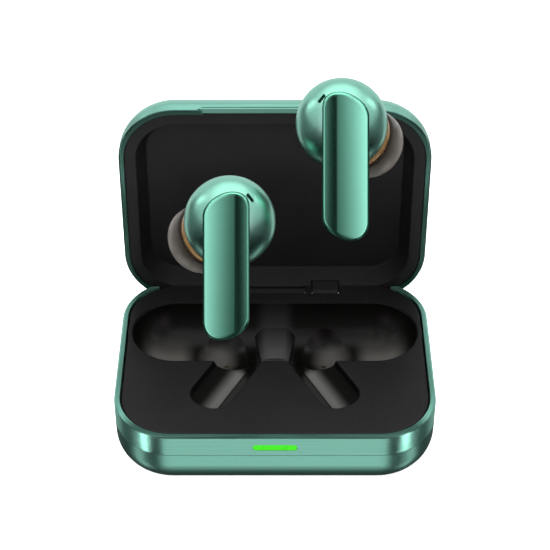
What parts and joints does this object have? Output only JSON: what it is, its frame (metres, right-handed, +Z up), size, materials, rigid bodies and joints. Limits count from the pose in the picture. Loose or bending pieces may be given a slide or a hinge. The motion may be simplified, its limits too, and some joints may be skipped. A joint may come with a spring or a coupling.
{
  "type": "wireless earbuds with charging case",
  "caption": "Clamshell charging case with its lid open and a pair of stem earbuds with silicone tips lifted out above it.",
  "frame": {"origin": "centre of the case's flat bottom, on the surface that it stands on", "axes": "+Z up, +Y towards the hinge at the case's back, +X to the right seen from the front"},
  "size_m": [0.065, 0.0691, 0.084],
  "materials": {
    "satin_mint": "satin anodised-look green shell",
    "brushed_mint": "brushed green band",
    "status_glow": "clear lens lit green",
    "cradle_black": "soft satin black",
    "liner_black": "soft satin black",
    "gold_pin": "gold-plated",
    "board_green": "solder-masked",
    "port_steel": "drawn steel",
    "pouch_foil": "foil",
    "magnet_nickel": "nickel-plated",
    "hinge_black": "glass-filled",
    "pin_steel": "ground",
    "bud_pearl": "pearlescent lacquer",
    "bud_metallic": "metallic lacquer, glossy",
    "nozzle_black": "satin",
    "mesh_steel": "woven mesh",
    "amber_ring": "translucent amber",
    "tip_silicone": "soft translucent silicone"
  },
  "bodies": {
    "case": {"base_shell": "satin_mint", "base_band": "brushed_mint", "status_light": "status_glow", "cradle": "cradle_black", "charge_pins": "gold_pin", "case_board": "board_green", "charge_port": "port_steel", "case_battery": "pouch_foil", "base_magnets": "magnet_nickel", "hinge_carrier": "hinge_black", "hinge_pin": "pin_steel"},
    "lid": {"lid_shell": "satin_mint", "lid_band": "brushed_mint", "lid_liner": "liner_black", "lid_magnets": "magnet_nickel", "lid_leaves": "hinge_black"},
    "left_earbud": {"left_head": "bud_pearl", "left_stem": "bud_metallic", "left_stem_face": "bud_metallic", "left_board": "board_green", "left_contacts": "gold_pin", "left_cell": "magnet_nickel", "left_driver": "port_steel", "left_nozzle": "nozzle_black", "left_nozzle_mesh": "mesh_steel", "left_ring": "amber_ring", "left_ear_tip": "tip_silicone", "left_mic_mesh": "mesh_steel"},
    "right_earbud": {"right_head": "bud_pearl", "right_stem": "bud_metallic", "right_stem_face": "bud_metallic", "right_board": "board_green", "right_contacts": "gold_pin", "right_cell": "magnet_nickel", "right_driver": "port_steel", "right_nozzle": "nozzle_black", "right_nozzle_mesh": "mesh_steel", "right_ring": "amber_ring", "right_ear_tip": "tip_silicone", "right_mic_mesh": "mesh_steel"}
  },
  "joints": [
    {"name": "lid_hinge", "type": "hinge", "parent": "case", "child": "lid", "pos_m": [0, 0.0211, 0.0135], "axis": [1, 0, 0], "range_deg": [0, 94]},
    {"name": "left_earbud_lift", "type": "slide", "parent": "case", "child": "left_earbud", "axis": [0, 0, 1], "range_m": [-0.019, 0]},
    {"name": "right_earbud_lift", "type": "slide", "parent": "case", "child": "right_earbud", "axis": [0, 0, 1], "range_m": [-0.032, 0]}
  ]
}
